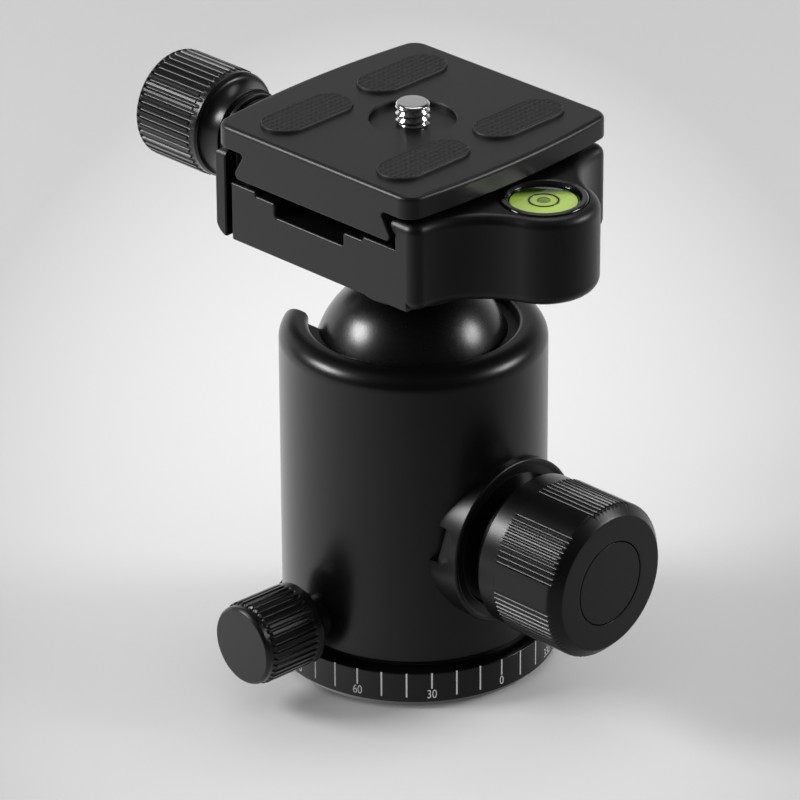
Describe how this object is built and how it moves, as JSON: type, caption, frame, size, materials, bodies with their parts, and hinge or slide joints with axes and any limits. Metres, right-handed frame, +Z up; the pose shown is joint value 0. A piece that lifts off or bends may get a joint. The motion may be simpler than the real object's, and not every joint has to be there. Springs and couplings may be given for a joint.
{
  "type": "tripod ball head",
  "caption": "Ball head for a tripod: panning base with dial, ball in a housing with a drop notch, lock and pan knobs, and a dovetail clamp with level and quick release plate.",
  "frame": {"origin": "centre of the base's underside, on the axis of the tripod socket", "axes": "+Z up along the pan axis, +X towards the main lock knob and the level, -Y towards the pan lock knob, -X towards the clamp knob and the drop notch"},
  "size_m": [0.1128, 0.0701, 0.1116],
  "materials": {
    "base_anodised": "satin black anodised, with white painted marks",
    "body_anodised": "satin black anodised, turned",
    "knob_anodised": "satin black anodised, turned and ribbed",
    "ball_anodised": "smooth black anodised",
    "clamp_anodised": "satin black anodised, milled",
    "plate_anodised": "fine blasted black anodised",
    "pad_rubber": "knurled black rubber",
    "slide_polymer": "machined sliding polymer",
    "cup_brass": "machined",
    "steel": "turned",
    "screw_chrome": "bright plated",
    "level_fluid": "green spirit under clear acrylic"
  },
  "bodies": {
    "base": {"pan_base": "base_anodised", "tripod_bushing": "steel", "bearing_washer": "slide_polymer", "hub_retainer": "steel", "retainer_screws": "steel"},
    "head": {"housing": "body_anodised", "core_block": "slide_polymer", "lock_collar": "body_anodised", "upper_seat_ring": "slide_polymer", "pan_sleeve": "steel"},
    "lock_carriage": {"lock_wedge": "steel"},
    "main_knob": {"lock_knob": "knob_anodised", "lock_knob_cap": "knob_anodised", "lock_screw": "steel"},
    "cup": {"cup_plunger": "steel", "ball_cup": "cup_brass"},
    "pan_shoe": {"pan_brake_shoe": "cup_brass"},
    "pan_lock": {"pan_knob": "knob_anodised", "pan_screw": "steel"},
    "ball_joint": {"ball": "ball_anodised"},
    "neck_joint": {"neck": "ball_anodised"},
    "clamp": {"clamp_body": "clamp_anodised", "clamp_mount_screw": "steel", "level_ring": "knob_anodised", "level_vial": "level_fluid"},
    "jaw": {"clamp_jaw": "clamp_anodised", "guide_pins": "steel"},
    "jaw_knob": {"clamp_knob": "knob_anodised", "clamp_screw": "steel", "thrust_washer": "steel"},
    "plate": {"quick_plate": "plate_anodised", "plate_pads": "pad_rubber"},
    "mounting_screw": {"camera_screw": "screw_chrome"}
  },
  "joints": [
    {"name": "pan", "type": "hinge", "parent": "base", "child": "head", "pos_m": [0, 0, 0], "axis": [0, 0, 1], "continuous": true},
    {"name": "main_lock_turn", "type": "hinge", "parent": "lock_carriage", "child": "main_knob", "pos_m": [0.03, 0, 0.0308], "axis": [1, 0, 0], "range_deg": [0, 220]},
    {"name": "main_lock_slide", "type": "slide", "parent": "head", "child": "lock_carriage", "axis": [1, 0, 0], "range_m": [0, 0.000763]},
    {"name": "cup_lift", "type": "slide", "parent": "head", "child": "cup", "axis": [0, 0, 1], "range_m": [-0.00045, 0]},
    {"name": "pan_lock_turn", "type": "hinge", "parent": "pan_shoe", "child": "pan_lock", "pos_m": [-0.00235, -0.02991, 0.01415], "axis": [-0.0785, -0.9969, 0], "range_deg": [0, 270]},
    {"name": "pan_lock_slide", "type": "slide", "parent": "head", "child": "pan_shoe", "axis": [-0.0785, -0.9969, 0], "range_m": [0, 0.0006]},
    {"name": "side_tilt", "type": "hinge", "parent": "head", "child": "ball_joint", "pos_m": [0, 0, 0.0588], "axis": [1, 0, 0], "range_deg": [-28, 28]},
    {"name": "drop_tilt", "type": "hinge", "parent": "ball_joint", "child": "neck_joint", "pos_m": [0, 0, 0.0588], "axis": [0, 1, 0], "range_deg": [-85, 22]},
    {"name": "ball_spin", "type": "hinge", "parent": "neck_joint", "child": "clamp", "pos_m": [0, 0, 0.0588], "axis": [0, 0, 1], "continuous": true},
    {"name": "jaw_screw_turn", "type": "hinge", "parent": "jaw", "child": "jaw_knob", "pos_m": [-0.04, 0, 0.0924], "axis": [-1, 0, 0], "range_deg": [0, 1080]},
    {"name": "jaw_slide", "type": "slide", "parent": "clamp", "child": "jaw", "axis": [-1, 0, 0], "range_m": [0, 0.003]},
    {"name": "plate_slide", "type": "slide", "parent": "clamp", "child": "plate", "axis": [0, 1, 0], "range_m": [-0.02, 0.02]},
    {"name": "camera_screw_turn", "type": "hinge", "parent": "plate", "child": "mounting_screw", "pos_m": [0, 0, 0.1], "axis": [0, 0, 1], "continuous": true}
  ],
  "couplings": [
    {"joint": "main_lock_turn", "follows": "main_lock_slide", "rad_per_m": 5026.5},
    {"joint": "cup_lift", "follows": "main_lock_slide", "ratio": -0.57735},
    {"joint": "pan_lock_turn", "follows": "pan_lock_slide", "rad_per_m": 7854},
    {"joint": "jaw_screw_turn", "follows": "jaw_slide", "rad_per_m": 6283.2}
  ]
}
